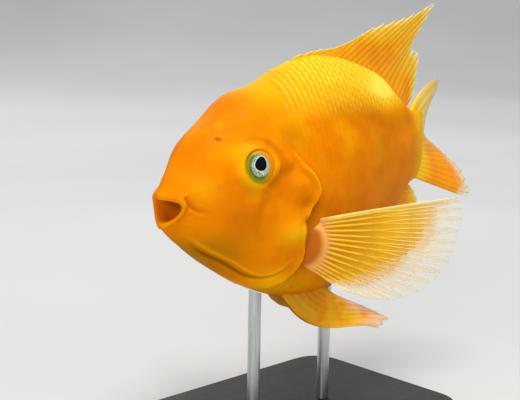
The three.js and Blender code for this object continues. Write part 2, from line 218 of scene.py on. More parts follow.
def face_relief(x, y, z):
    fold, share = jaw_edge.near(x, z)
    out = 0.5 * bell(fold - 0.7, 0.6) * fades(share, 0.15, 0.2)
    out -= 1.1 * bell(fold + 0.6, 0.75) * fades(share, 0.2, 0.4)
    out += 0.5 * bell(fold + 4, 2.2) * fades(share, 0.15, 0.3)
    out += 0.5 * ease(fold, 0.2, 0.8) * bell(fold - 2, 5) * fades(share, 0.1, 0.2)
    out += 0.9 * mound(x, z, 32, -2, 10, 6)
    fold, share = brow.near(x, z)
    out += 0.25 * bell(fold - 1.3, 1.4) * fades(share, 0.3, 0.3)
    out -= 0.7 * mound(x, z, 20.6, 26, 0.7, 0.45)
    fold, share = mouth_fold.near(x, z)
    out -= min(1, abs(y) / 5) * bell(fold, 0.9) * fades(share, 0.1, 0.6)
    return out + 0.35 * bell(fold + 1.7, 1.2) * fades(share, 0.2, 0.6)


def relief(point, stop):
    """How far the skin stands off the plain body, in mm."""
    x, y, z = point
    flank = min(1, abs(y) / 10)
    if stop < LIP - 1:
        return 0
    past = stop - LIP
    lips = 0.6 * bell(past - 0.1, 0.5) + 0.5 * bell(past + 0.35, 0.3)
    lips += 0.5 * bell(past - 1.4, 0.7) * ease(-z, 1, 6) - 0.25 * bell(past - 1.2, 0.3) * ease(z, -4, 2)
    if stop < LIP:
        return lips
    if x > 80:
        return -SINK * ease(149 - x, 0, 4)
    out = gill_relief(x, z) + eye_relief(x, z)
    if x < 60:
        out += face_relief(x, y, z)
    return lips + flank * out - SINK * scaled(x, z)


def saddle(x):
    """The lower edge of the yellowish saddle on the back, where the scales begin to show. The saddle is
    partly the skin's own tint and partly painted light from above.
    """
    return 43 - 9 * ease(x, 80, 118)


def tints_and_painted_light(point, stop=LIP):
    """Shares of yellowish tint with painted highlights, of deeper orange with painted shade, and of
    greenish-brown tint with painted shade in the skin here, and how dark the painted shade in its creases
    is.
    """
    x, _, z = point
    above = z - saddle(x)
    # The saddle is partly the skin's own yellowish tint and partly painted light from above; it fades
    # towards the tail.
    yellow_and_highlight = ease(above, -4, 4) * ease(x, 44, 72) * (1 - 0.6 * ease(x, 124, 145))
    # A painted highlight on the lower lobe of the gill cover, and a yellowish tail stem.
    yellow_and_highlight = max(yellow_and_highlight, 0.6 * mound(x, z, 48.5, -11, 6, 5), 0.5 * ease(x, 134, 150))
    # Painted light from above on the top of the head, and a painted highlight on the upper back.
    yellow_and_highlight = max(yellow_and_highlight, 0.55 * ease(z, 29, 42) * ease(x, 28, 52)) + 0.6 * mound(x, z, 116, 40, 12, 6)
    # Painted shade on the lower body and lower rear; the next line adds the flank's own deeper orange, in a
    # band under the saddle and a patch on the rear flank.
    deep_orange_and_shade = max(0.3 * ease(-z, 0, 34) * ease(x, 55, 80), 0.1 * ease(x, 70, 100) * ease(24 - z, 0, 20))
    deep_orange_and_shade = max(deep_orange_and_shade, 0.6 * bell(above + 8, 5) * ease(x, 62, 80), 0.4 * mound(x, z, 106, 14, 14, 16))
    crease_shade = 0
    if x < 80:
        behind, share = gill_edge.near(x, z)
        low = 0.15 + 0.85 * ease(-z, -6, 4)
        # Painted shadow behind the gill cover's margin, and painted shade in the hollow on the cover and in
        # the groove ahead of the margin.
        deep_orange_and_shade = max(deep_orange_and_shade, low * bell(behind - 2, 7) * ease(behind, 0, 1) * fades(share, 0.05, 0.2))
        deep_orange_and_shade = max(deep_orange_and_shade, 0.5 * mound(x, z, 54, 0, 3.2, 3), 0.25 * bell(behind + 3.4, 1.3) * ease(z, 2, 6))
        # Painted shade in the slit behind the gill cover's margin and in the pit at its lower lobe.
        crease_shade = 0.6 * low * bell(behind - 0.7, 0.9) * ease(behind, -0.2, 0.3) * fades(share, 0.1, 0.3)
        crease_shade = max(crease_shade, 0.8 * mound(x, z, 53, -6.8, 0.8, 1.8))
        # A painted highlight along the rim of the gill cover.
        yellow_and_highlight = max(yellow_and_highlight, 0.35 * bell(behind + 0.9, 0.8) * fades(share, 0.2, 0.1))
    # The chin's greenish brown is partly its own tint and partly painted shade under the head.
    olive_and_shade = 0.8 * ease(-z, 4, 18) * ease(40 - x, 0, 26)
    if x < 60:
        from_eye = math.hypot(x - GAZE.x, z - GAZE.y)
        rear = ease(x - GAZE.x, -2, 6)
        front = ease(GAZE.x + 3 - x, 0, 7)
        # Round the eye the yellowish tint is partly the skin's own and partly a painted highlight,
        # strongest on the upper front of the bulge; the forehead and snout get painted highlights too.
        lid = 1 - ease(from_eye, 6.6 + 0.4 * front, 7.8 + 3.4 * front)
        yellow_and_highlight = max(yellow_and_highlight, lid * (0.2 + 0.35 * front) * (1 - 0.6 * (1 - front) * ease(GAZE.y - z, 0, 6)))
        yellow_and_highlight = max(yellow_and_highlight, 0.45 * mound(x, z, 27, 21.5, 7, 4), 0.3 * mound(x, z, 12, 8, 5, 5))
        # A greenish-brown ring in front of the eye, and a fainter band along the eye's lower side.
        moss = ease(7.6 - from_eye, 0, 2.2)
        olive_and_shade = max(olive_and_shade, moss * (1 - 0.95 * rear), 0.3 * bell(from_eye - 8.5, 2) * ease(EYE.z - z, 0, 7))
        # Darker at the top end of the gill cover.
        deep_orange_and_shade = max(deep_orange_and_shade, 0.55 * mound(x, z, 49, 26, 9, 6))
        # The throat is lightened with painted light.
        yellow_and_highlight = max(yellow_and_highlight, 0.4 * mound(x, z, 46, -34, 10, 6))
        # Painted shade in the hollow behind the eye and painted shadow round the rear of the eye's bulge.
        fold, share = hollow.near(x, z)
        deep_orange_and_shade = max(deep_orange_and_shade, 0.5 * bell(fold + 0.3, 3) * fades(share, 0.2, 0.3))
        deep_orange_and_shade = max(deep_orange_and_shade, 0.65 * bell(from_eye - 9.6, 2) * rear * ease(z, 13, 19))
        # Painted shade in the cheek's groove and under the eye.
        fold, share = cheek_edge.near(x, z)
        deep_orange_and_shade = max(deep_orange_and_shade, 0.4 * bell(fold, 2) * fades(share), 0.4 * mound(x, z, 26, -5, 9, 8))
        fold, share = jaw_edge.near(x, z)
        # Painted shade in the jaw fold.
        crease_shade = max(crease_shade, 0.75 * bell(fold + 0.8, 0.7) * fades(share, 0.25, 0.5))
        # A painted highlight along the lit upper edge of the jaw fold.
        yellow_and_highlight = max(yellow_and_highlight, 0.4 * bell(fold - 0.7, 0.6) * fades(share, 0.15, 0.1))
        # Less of the chin tint and its painted shade along the painted highlight on the jaw fold.
        olive_and_shade *= 1 - 0.6 * bell(fold - 0.9, 0.9)
        fold, share = mouth_fold.near(x, z)
        # Painted shade in the mouth's fold and in the nostril.
        crease_shade = max(crease_shade, 0.35 * bell(fold, 0.7) * fades(share, 0.1, 0.6))
        crease_shade = max(crease_shade, 0.75 * mound(x, z, 20.6, 26, 0.9, 0.6))
    # The inside of the mouth is darkened with painted shade.
    inside = ease(LIP - 0.5 - stop, 0, 0.9)
    return yellow_and_highlight * (1 - inside), max(deep_orange_and_shade, 0.8 * inside), olive_and_shade * (1 - inside), crease_shade


class Value:
    """One output in a material. Sums, products and powers of values add Math nodes."""

    def __init__(self, tree, socket=None):
        self.tree, self.socket = tree, socket

    def node(self, kind, settings=None, inputs=None, output=0):
        """Any other node, from its settings and the values or links of its sockets."""
        made = self.tree.nodes.new("ShaderNode" + kind)
        for name, setting in (settings or {}).items():
            setattr(made, name, setting)
        for name, value in (inputs or {}).items():
            if isinstance(value, Value):
                self.tree.links.new(value.socket, made.inputs[name])
            else:
                made.inputs[name].default_value = value
        return Value(self.tree, made.outputs[output])

    def math(self, operation, first, second=0.0):
        return self.node("Math", {"operation": operation}, {0: first, 1: second})

    def __add__(self, other):
        return self.math("ADD", self, other)

    def __sub__(self, other):
        return self.math("SUBTRACT", self, other)

    def __rsub__(self, other):
        return self.math("SUBTRACT", other, self)

    def __mul__(self, other):
        return self.math("MULTIPLY", self, other)

    def __truediv__(self, other):
        return self.math("DIVIDE", self, other)

    def __pow__(self, other):
        return self.math("POWER", self, other)

    __radd__ = __add__
    __rmul__ = __mul__

    def between(self, low, high):
        """0 at low and 1 at high, with a soft start and end."""
        return self.node("MapRange", {"interpolation_type": "SMOOTHSTEP"},
                         {"Value": self, "From Min": low, "From Max": high})

    def mix(self, first, second):
        """From the first colour to the second as this value goes from 0 to 1."""
        return self.node("Mix", {"data_type": "RGBA"}, {0: self, 6: first, 7: second}, 2)

    def parts(self):
        """The x, y and z of a vector, or the red, green and blue of a colour."""
        split = self.node("SeparateXYZ", {}, {0: self}).socket.node
        return [Value(self.tree, output) for output in split.outputs]

    def kept(self, name, output=1):
        """What a mesh keeps at its vertices under this name."""
        return self.node("Attribute", {"attribute_name": name}, output=output)

    def noise(self, scale, detail=3.0, stretch=(1, 1, 1)):
        """Cloudy values round 0.5 over the object's own coordinates, in 1/m."""
        place = self.node("TexCoord", output=3)
        place = self.node("Mapping", {}, {"Vector": place, "Scale": stretch})
        return self.node("TexNoise", {}, {"Vector": place, "Scale": scale, "Detail": detail})


def new_material(name, **sockets):
    """A material with its shader's fixed sockets set, and a Value to build its nodes from."""
    material = bpy.data.materials.new(name)
    material.use_nodes = True
    shader = material.node_tree.nodes["Principled BSDF"]
    for socket, setting in sockets.items():
        shader.inputs[socket.replace("_", " ")].default_value = setting
    return material, shader, Value(material.node_tree)


def connect(value, shader, name):
    value.tree.links.new(value.socket, shader.inputs[name])


def add_bump(height, shader, distance, strength=1.0):
    bump = height.node("Bump", {}, {"Height": height, "Strength": strength, "Distance": distance})
    connect(bump, shader, "Normal")


ORANGE = (0.90, 0.255, 0, 1)
GOLD = (0.93, 0.38, 0, 1)
AMBER = (0.78, 0.20, 0, 1)
YELLOW = (0.96, 0.56, 0.004, 1)
# A pale straw for painted highlights on the skin and scales.
STRAW_HIGHLIGHT = (0.97, 0.74, 0.08, 1)
# Deep orange for painted shade, and for the flank's own deeper patches and the scales' random tones.
DEEP_ORANGE_AND_SHADE = (0.54, 0.13, 0, 1)
OLIVE = (0.33, 0.165, 0, 1)
MOSS = (0.36, 0.31, 0.002, 1)
# The painted shade in creases.
CREASE_SHADOW = (0.15, 0.03, 0, 1)


def skin_material(name, lapped=False):
    """The skin's colours from its own tints and its painted highlights and shade. Scales also get painted
    shade towards their roots and a painted highlight on their free edges.
    """
    material, shader, value = new_material(
        name, Coat_Weight=0.01, Coat_Roughness=0.3, Specular_IOR_Level=0.02, Subsurface_Weight=0.08,
        Subsurface_Radius=(1.0, 0.3, 0.05), Subsurface_Scale=0.0015)
    yellow_and_highlight, deep_orange_and_shade, olive_and_shade = value.kept("tints_and_painted_light").parts()
    crease_shade = value.kept("tints_and_painted_light", 3)
    cloud = value.noise(60, 4)
    speck = value.noise(420, 3)
    colour = cloud.between(0.38, 0.66).mix(ORANGE, AMBER)
    colour = (value.noise(42, 3).between(0.5, 0.68) * 0.75).mix(colour, GOLD)
    # Painted shade, and the flank's own deeper orange.
    colour = (deep_orange_and_shade + (cloud - 0.5) * 0.6 * deep_orange_and_shade).mix(colour, DEEP_ORANGE_AND_SHADE)
    # Yellowish tint and painted highlights.
    colour = (yellow_and_highlight + (speck - 0.5) * 0.3 * yellow_and_highlight).mix(colour, YELLOW)
    # Greenish-brown tint, with painted shade under the chin.
    colour = olive_and_shade.mix(colour, OLIVE)
    colour = (yellow_and_highlight * olive_and_shade).between(0.1, 0.6).mix(colour, MOSS)
    if lapped:
        lap, tone, _ = value.kept("lap").parts()
        # Painted shade towards each scale's root, where it tucks under the one before.
        colour = ((1 - lap.between(0.5, 0.85)) * (0.04 + 0.2 * yellow_and_highlight)).mix(colour, AMBER)
        # A painted highlight on each scale's free edge.
        colour = (lap.between(0.6, 0.9) * yellow_and_highlight * 0.7).mix(colour, STRAW_HIGHLIGHT)
        # Each scale's own random tone, a little deeper.
        colour = (tone * 0.12).mix(colour, DEEP_ORANGE_AND_SHADE)
    # Where the yellowish share passes 1, on the upper back, a painted highlight.
    colour = yellow_and_highlight.between(1.0, 1.5).mix(colour, STRAW_HIGHLIGHT)
    # Creases darkened with painted shade.
    colour = crease_shade.mix(colour, CREASE_SHADOW)
    connect(colour, shader, "Base Color")
    connect(0.42 + 0.2 * value.noise(260, 2), shader, "Roughness")
    add_bump(value.noise(1400, 3) + value.noise(350, 2), shader, 0.0003, 0.3)
    return material


# Stores the skin's own tints together with its painted highlights and painted shade at each vertex.
def keep_tints_and_painted_light(mesh, spots):
    layer = mesh.verts.layers.float_color.new("tints_and_painted_light")
    for vert, spot in zip(mesh.verts, spots):
        vert[layer] = tints_and_painted_light(*spot)


def add_piece(name, mesh, material, slot):
    """Makes an object of the finished bmesh, which rides on the frame's one body when it is given a slot.
    """
    data = bpy.data.meshes.new(name)
    mesh.to_mesh(data)
    mesh.free()
    for face in data.polygons:
        face.use_smooth = True
    data.materials.append(material)
    piece = bpy.data.objects.new(name, data)
    bpy.context.scene.collection.objects.link(piece)
    if slot:
        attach(piece, "root")
    return piece


def face_outwards(mesh):
    mesh.normal_update()
    bmesh.ops.recalc_face_normals(mesh, faces=mesh.faces)
    mesh.normal_update()


def row_stop(share):
    """The ring that this share of the shell's rows has come to."""
    left = share * sum(ROWS)
    for ring, rows in enumerate(ROWS):
        if left <= rows:
            return ring + left / rows
        left -= rows
    return TAIL


def stop_and_angle(co):
    unit = co.normalized()
    stop = row_stop(math.acos(max(-1, min(1, unit.z))) / math.pi)
    return stop, round(math.atan2(unit.y, unit.x), 5)


skin = bmesh.new()
bmesh.ops.create_uvsphere(skin, u_segments=COLUMNS, v_segments=sum(ROWS), radius=1)
near_eye = []
for edge in skin.edges:
    spot = body_point(*stop_and_angle(edge.verts[0].co))
    if math.hypot(spot.x - EYE.x, spot.z - EYE.z) < 8 and abs(spot.y) > 8:
        near_eye.append(edge)
bmesh.ops.subdivide_edges(skin, edges=near_eye, cuts=1, use_grid_fill=True)
grid = [stop_and_angle(vert.co) for vert in skin.verts]
for vert, (stop, angle) in zip(skin.verts, grid):
    vert.co = body_point(stop, angle)
    if stop >= TAIL:
        vert.co.x += 1.5
face_outwards(skin)
moved = [vert.co + vert.normal * relief(vert.co, stop) for vert, (stop, angle) in zip(skin.verts, grid)]
keep_tints_and_painted_light(skin, [(point, stop) for point, (stop, angle) in zip(moved, grid)])
for vert, point in zip(skin.verts, moved):
    vert.co = in_frame(point)
skin.normal_update()
skin_surface = BVHTree.FromBMesh(skin)
flesh_skin = add_piece("fish_skin", skin, skin_material("orange_skin"), "flesh")
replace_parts(flesh_skin, "head", "trunk", "tail_stem", "gill_cover_left", "gill_cover_right")

# The scales are thin, bony, rounded plates that grow from pockets in the skin of the flanks.
# Their free edges point to the tail and lap over the next ones like roof tiles.
SCALE_ALONG, SCALE_ROUND = 2.5, 3.9  # how far apart the scales' roots are
PLATE_LONG, PLATE_WIDE = 0.92, 0.64  # half a scale's size, as shares of these
SCALE_LIFT, SCALE_CROWN, SCALE_THICK = 0.34, 0.1, 0.15
PATCH = 0.0015  # half the width of a scale's patch on its own unwrap
plate = bmesh.new()
bmesh.ops.create_grid(plate, x_segments=5, y_segments=4, size=1)
for vert in plate.verts:
    a, b, _ = vert.co
    vert.co = (a * math.sqrt(1 - b * b / 2), b * math.sqrt(1 - a * a / 2), 0)
made = bmesh.ops.extrude_face_region(plate, geom=plate.faces[:], use_keep_orig=True)
for part in made["geom"]:
    if isinstance(part, bmesh.types.BMVert):
        part.co.z = 1
for edge in plate.edges:
    edge.smooth = abs(sum(face.normal.z for face in edge.link_faces)) < 0.5
plate_mesh = bpy.data.meshes.new("scale_pattern")
plate.to_mesh(plate_mesh)
plate.free()


def stop_at(x):
    """The ring at which the middle of the flank has come to this x."""
    low, high = 9.0, float(TAIL)
    for _ in range(30):
        middle = (low + high) / 2
        low, high = (middle, high) if body_point(middle, math.pi / 2).x < x else (low, middle)
    return low


def scale_roots(sign):
    """The ring and angle of each scale's root, in staggered columns."""
    roots = []
    for column in range(42):
        stop = stop_at(46 + column * SCALE_ALONG)
        angles = [math.pi * i / 90 for i in range(91)]
        ring = [body_point(stop, angle) for angle in angles]
        arcs = [0.0]
        for near, far in zip(ring, ring[1:]):
            arcs.append(arcs[-1] + (far - near).length)
        for row in range(-16, 17):
            arc = arcs[45] + (row + (column % 2) / 2) * SCALE_ROUND
            if not 2.2 < arc < arcs[-1] - 0.8:
                continue
            index = bisect.bisect(arcs, arc) - 1
            share = (arc - arcs[index]) / (arcs[index + 1] - arcs[index])
            angle = angles[index] + share * (angles[1] - angles[0])
            root = body_point(stop, angle)
            if scaled(root.x, root.z) > 0.3 and root.x < 148:
                roots.append((stop, sign * angle))
    return roots


chance = random.Random(4)
scale_skin = skin_material("orange_scales", lapped=True)
for side, sign in (("left", 1), ("right", -1)):
    coat = bmesh.new()
    roots = scale_roots(sign)
    for _ in roots:
        coat.from_mesh(plate_mesh)
    coat.verts.ensure_lookup_table()
    lap = coat.verts.layers.float_vector.new("lap")
    bake = coat.verts.layers.float_vector.new("bake")
    size = len(plate_mesh.vertices)
    points = []
    for number, (stop, angle) in enumerate(roots):
        root = body_point(stop, angle)
        along = (body_point(stop + 0.05, angle) - body_point(stop - 0.05, angle)).normalized()
        across = (body_point(stop, angle + 0.02) - body_point(stop, angle - 0.02)).normalized()
        rise = 0.3 + 0.7 * ease(root.z - saddle(root.x), -14, 1)
        tone, tilt = chance.random(), chance.uniform(-0.07, 0.07)
        for vert in coat.verts[number * size:(number + 1) * size]:
            a, b, level = vert.co
            back, out = a * SCALE_ALONG * PLATE_LONG, b * SCALE_ROUND * PLATE_WIDE
            spot = root + along * (back - tilt * out) + across * (out + tilt * back)
            hit, normal, _, _ = skin_surface.find_nearest(in_frame(spot))
            free = (a + 1) / 2
            height = rise * (SCALE_LIFT * free ** 1.3 - SCALE_CROWN * b * b) - SCALE_THICK * (1 - level)
            height -= 0.06
            vert[lap] = (free, tone, 0)
            vert[bake] = (angle / (2 * math.pi) % 1 + b * PATCH, stop / TAIL + a * PATCH, 0)
            vert.co = hit + normal * height * MM
            points.append((spot,))
    keep_tints_and_painted_light(coat, points)
    unwrap = coat.loops.layers.uv.new("OFBake")
    for face in coat.faces:
        for loop in face.loops:
            loop[unwrap].uv = loop.vert[bake].xy
    face_outwards(coat)
    add_piece(f"scales_{side}", coat, scale_skin, "flesh")
bpy.data.meshes.remove(plate_mesh)

# Each eye is a firm, gently domed ball that sits in its socket under a clear outer layer. The
# pupil is an egg-shaped hole, narrow at the upper rear, in a silver ring on a green-grey iris.
EYE_ACROSS, EYE_DOME, EYE_BACK = 6.3, 2.5, 4.0
EYE_SEAT = 0.95  # how deep the widest part of the ball lies in the skin
SOCKET = 6.6  # how far round the gaze the skin's place and tilt are measured
PUPIL_BLACK = (0.003, 0.004, 0.006, 1)
SILVER = (0.70, 0.76, 0.70, 1)
IRIS_PALE = (0.52, 0.60, 0.46, 1)
IRIS_GREEN = (0.16, 0.28, 0.11, 1)
IRIS_BUFF = (0.58, 0.50, 0.30, 1)
LIMB_DARK = (0.10, 0.13, 0.015, 1)
eye_glaze, shader, value = new_material(
    "eye_glaze", Roughness=0.35, Coat_Weight=0.14, Coat_Roughness=0.05, Specular_IOR_Level=0.05)
rear, up, _ = value.kept("gaze").parts()
# Along the pupil's long way, and across it.
long_way = (up - 1.2) * 0.94 + (rear + 0.6) * 0.34
cross_way = (rear + 0.6) * 0.94 - (up - 1.2) * 0.34
pupil = ((long_way / 2.75) ** 2.0 + (cross_way / (2.35 - long_way * 0.18)) ** 2.0) ** 0.5
iris = (((rear + 0.9) / 3.85) ** 2.0 + ((up - 0.3) / 4.3) ** 2.0) ** 0.5
flecks = value.noise(1500, 4)
colour = flecks.between(0.42, 0.62).mix(IRIS_GREEN, IRIS_PALE)
colour = ((0 - up).between(0.5, 3.5) * flecks.between(0.5, 0.64)).mix(colour, SILVER)
colour = (rear.between(-0.5, 2.5) * 0.6).mix(colour, IRIS_BUFF)
shaded = (0 - rear - up * 0.4).between(-2.0, 2.0)
colour = ((iris + (flecks - 0.5) * 0.3).between(0.84, 1.04) * (0.45 + 0.55 * shaded)).mix(colour, LIMB_DARK)
around = shaded.mix((0.74, 0.26, 0.001, 1), MOSS)
colour = (iris + (flecks - 0.5) * 0.2).between(1.0, 1.12 + 0.25 * shaded).mix(colour, around)
colour = (pupil + (flecks - 0.5) * 0.15).between(1.04, 1.15).mix(SILVER, colour)
colour = pupil.between(0.98, 1.03).mix(PUPIL_BLACK, colour)
connect(colour, shader, "Base Color")
for side, sign in (("left", -1), ("right", 1)):
    rim = []
    for step in range(24):
        turn = math.radians(15 * step)
        outside = (GAZE.x + SOCKET * math.cos(turn), sign * 60, GAZE.y + SOCKET * math.sin(turn))
        rim.append(skin_surface.ray_cast(in_frame(outside), Vector((0, -sign, 0)))[:2])
    centre = sum((hit for hit, _ in rim), Vector()) / len(rim) - Vector((0.2, 0, 0)) * MM
    axis = sum((normal for _, normal in rim), Vector()).normalized()
    rearward = (Vector((1, 0, 0)) - axis * axis.x).normalized()
    upward = (Vector((0, 0, 1)) - axis * axis.z - rearward * rearward.z).normalized()
    ball = bmesh.new()
    bmesh.ops.create_uvsphere(ball, u_segments=64, v_segments=40, radius=1)
    gaze = ball.verts.layers.float_vector.new("gaze")
    for vert in ball.verts:
        across, over, out = vert.co
        vert[gaze] = (across * EYE_ACROSS, over * EYE_ACROSS, 0)
        out = EYE_DOME * max(out, 0) ** 1.2 - EYE_BACK * max(-out, 0) - EYE_SEAT
        vert.co = centre + (rearward * across * EYE_ACROSS + upward * over * EYE_ACROSS + axis * out) * MM
    face_outwards(ball)
    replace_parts(add_piece(f"eyeball_{side}", ball, eye_glaze, "eye"), f"eye_{side}")

# The dorsal fin stands on the midline of the back: stiff spines in front and branched soft
# rays behind, joined by a fleshy membrane that thins towards its pale, ragged edge.
FIN_ORANGE = (0.90, 0.29, 0, 1)
FIN_RUST = (0.58, 0.15, 0, 1)
FIN_YELLOW = (0.92, 0.50, 0.015, 1)
FIN_STRAW = (0.93, 0.66, 0.14, 1)
FIN_CREAM = (0.93, 0.78, 0.46, 1)
SIDEWAYS = Vector((0, 1, 0))


def line_of(points):
    corners = [Vector(point) for point in points]
    return functools.lru_cache(maxsize=None)(lambda share: through(corners, share))


def fin_sheet(name, at, outward, thick, reach, across, along, material):
    """A closed sheet from a fin's root to its edge, where reach(u) may cut it back."""
    sheet = bmesh.new()
    bmesh.ops.create_grid(sheet, x_segments=across, y_segments=along, size=0.5)
    share = sheet.verts.layers.float_vector.new("share")
    for vert in sheet.verts:
        vert[share] = (vert.co.x + 0.5, vert.co.y + 0.5, 0)
    near = sheet.verts[:]
    made = bmesh.ops.extrude_face_region(sheet, geom=sheet.faces[:], use_keep_orig=True)
    far = [part for part in made["geom"] if isinstance(part, bmesh.types.BMVert)]
    for side, verts in ((-0.5, near), (0.5, far)):
        for vert in verts:
            u, v, _ = vert[share]
            v *= reach(u)
            away = (at(u, v) - at(u, 0)).length
            vert[share] = (u, v, away)
            vert.co = in_frame(at(u, v) + outward * side * thick(u, v, away))
    face_outwards(sheet)
    return add_piece(name, sheet, material, "fin")


def tapered(edge, more, end=0.8):
    """A sheet's thickness, with this much more at its root than at its edge."""
    return lambda u, v, away: edge + more * (1 - ease(v, 0, end)) ** 2


def branching(count, thick, start, splits=(0.45, 0.7), spread=1.0):
    """Soft rays, each of which parts into two and then four."""
    runs = []
    first, second = splits
    for index in range(count):
        width = 1 / count
        u = (index + 0.5) * width
        runs.append((u, u, start(u), first, thick, thick * 0.62))
        for fork in (-1, 1):
            inner = u + fork * spread * width * 0.23
            runs.append((u, inner, first - 0.03, second, thick * 0.6, thick * 0.45))
            for twig in (-1, 1):
                outer = inner + twig * spread * width * 0.12
                runs.append((inner, outer, second - 0.03, 1, thick * 0.36, thick * 0.14))
    return runs


def fin_rays(name, at, outward, runs, reach, material, cuts=6):
    """Tapered round rays along a fin, as one joined mesh. Each run goes from one u, v and
    half thickness to another."""
    one = bmesh.new()
    bmesh.ops.create_cone(one, cap_ends=True, segments=6, radius1=1, radius2=1, depth=1)
    lengthwise = [e for e in one.edges if abs(e.verts[0].co.z - e.verts[1].co.z) > 0.5]
    bmesh.ops.subdivide_edges(one, edges=lengthwise, cuts=cuts)
    pattern = bpy.data.meshes.new("ray_pattern")
    one.to_mesh(pattern)
    one.free()
    rays = bmesh.new()
    for _ in runs:
        rays.from_mesh(pattern)
    rays.verts.ensure_lookup_table()
    share = rays.verts.layers.float_vector.new("share")
    size = len(pattern.vertices)
    bpy.data.meshes.remove(pattern)
    for number, (u_from, u_to, v_from, v_to, r_from, r_to) in enumerate(runs):
        v_end = v_to * reach(u_to) if v_to == 1 else v_to
        for vert in rays.verts[number * size:(number + 1) * size]:
            t = vert.co.z + 0.5
            u = u_from + (u_to - u_from) * ease(t, 0, 1)
            v = v_from + (v_end - v_from) * t
            way = (at(u, v + 0.01) - at(u, v - 0.01)).normalized()
            across = way.cross(outward).normalized()
            radius = r_from + (r_to - r_from) * t
            vert[share] = (u, v, (at(u, v) - at(u, 0)).length)
            vert.co = in_frame(at(u, v) + (outward * vert.co.x * 0.8 + across * vert.co.y) * radius)
    face_outwards(rays)
    return add_piece(name, rays, material, "fin")


def fin_material(name, paint, ribs=0):
    """paint(value, u, v, away) gives the colour, and None or how solid the fin is, by shares
    of the way along it, from root to edge, and the distance from its root in mm."""
    material, shader, value = new_material(
        name, Roughness=0.5, Coat_Weight=0.05, Coat_Roughness=0.3, Specular_IOR_Level=0.12,
        Subsurface_Weight=0.12, Subsurface_Radius=(1.0, 0.4, 0.1), Subsurface_Scale=0.001)
    u, v, away = value.kept("share").parts()
    colour, solid = paint(value, u, v, away)
    if ribs:
        wave = value.node("Math", {"operation": "COSINE"}, {0: u * (2 * math.pi * ribs)})
        add_bump(value.noise(900, 3) * 0.5 - wave, shader, 0.0003, 0.4)
        gap = (wave * 0.5 + 0.5) ** 2.0 * v.between(0.2, 0.5) * 0.09
        colour = gap.mix(colour, FIN_RUST)
    connect(colour, shader, "Base Color")
    if solid:
        connect(solid, shader, "Alpha")
    return material


def scallop(count, depth, sharp=1.5):
    """The edge of a fin's sheet draws back between its rays."""
    return lambda u: 1 - depth * abs(math.cos(math.pi * u * count)) ** sharp


DORSAL_RAYS, DORSAL_SPINES = 26, 13
dorsal_root = line_of([
    (62, 0, 48), (76, 0, 52), (92, 0, 51.5), (107, 0, 48), (121, 0, 42), (133, 0, 33), (140, 0, 28),
])
dorsal_tip = line_of([
    (70, 0, 54.8), (84, 0, 56.8), (96, 0, 57.7), (107, 0, 60.8), (119, 0, 65.4), (134, 0, 68.3),
    (147, 0, 71.4), (158, 0, 75), (150.5, 0, 65), (144.5, 0, 56), (150.6, 0, 52.6), (149.5, 0, 43),
    (146, 0, 33),
])


def dorsal_at(u, v):
    point = dorsal_root(u).lerp(dorsal_tip(u), v)
    point.y += 1.0 * v * math.sin(9 * u) * ease(u, 0.2, 0.5)
    return point


def dorsal_paint(value, u, v, away):
    cloud = value.noise(70, 3)
    wander = v + (cloud - 0.5) * 0.35
    colour = cloud.between(0.35, 0.6).mix(FIN_ORANGE, GOLD)
    colour = (u.between(0.3, 0.42) * (1 - u.between(0.5, 0.62)) * v.between(0.05, 0.3)
              * (1 - v.between(0.45, 0.7)) * 0.25).mix(colour, FIN_RUST)
    colour = wander.between(0.35, 0.75).mix(colour, FIN_YELLOW)
    colour = wander.between(0.72, 0.92).mix(colour, FIN_STRAW)
    return wander.between(0.92, 1.04).mix(colour, FIN_CREAM), None


def spine_paint(value, u, v, away):
    colour = v.between(0.3, 0.75).mix(FIN_ORANGE, FIN_YELLOW)
    return v.between(0.72, 0.95).mix(colour, FIN_CREAM), None


dorsal_sheet = fin_sheet(
    "dorsal_sheet", dorsal_at, SIDEWAYS, tapered(0.4, 2.6), scallop(DORSAL_RAYS, 0.09),
    8 * DORSAL_RAYS, 24, fin_material("dorsal_skin", dorsal_paint, DORSAL_RAYS))
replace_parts(dorsal_sheet, "fin_dorsal")
pale_ray = fin_material("pale_ray", spine_paint)
soft_rays = [run for run in branching(DORSAL_RAYS, 0.6, lambda u: 0.03) if run[0] > 0.5]
spines = [((i + 0.5) / DORSAL_RAYS,) * 2 + (0.03, 1, 0.7, 0.14) for i in range(DORSAL_SPINES)]
fin_rays("dorsal_rays", dorsal_at, SIDEWAYS, spines + soft_rays, lambda u: 1, pale_ray)

# The anal fin is the dorsal fin's smaller fellow under the tail stem, bright orange with a
# pale edge.
ANAL_RAYS = 16
anal_root = line_of([
    (101, 0, -38), (109, 0, -36), (117, 0, -28), (125, 0, -21), (134, 0, -11), (141, 0, -5),
])
anal_tip = line_of([
    (104, 0, -44), (114, 0, -42.6), (126, 0, -40.4), (138, 0, -39.6), (150, 0, -38.4), (159, 0, -31),
    (156, 0, -20), (151, 0, -11), (147, 0, -6.5),
])


def anal_at(u, v):
    return anal_root(u).lerp(anal_tip(u), v)


anal_sheet = fin_sheet(
    "anal_sheet", anal_at, SIDEWAYS, tapered(0.4, 2.0), scallop(ANAL_RAYS, 0.07),
    8 * ANAL_RAYS, 20, fin_material("anal_skin", dorsal_paint, ANAL_RAYS))
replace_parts(anal_sheet, "fin_anal")
anal_runs = branching(ANAL_RAYS, 0.55, lambda u: 0.03)
fin_rays("anal_rays", anal_at, SIDEWAYS, anal_runs, lambda u: 1, pale_ray)

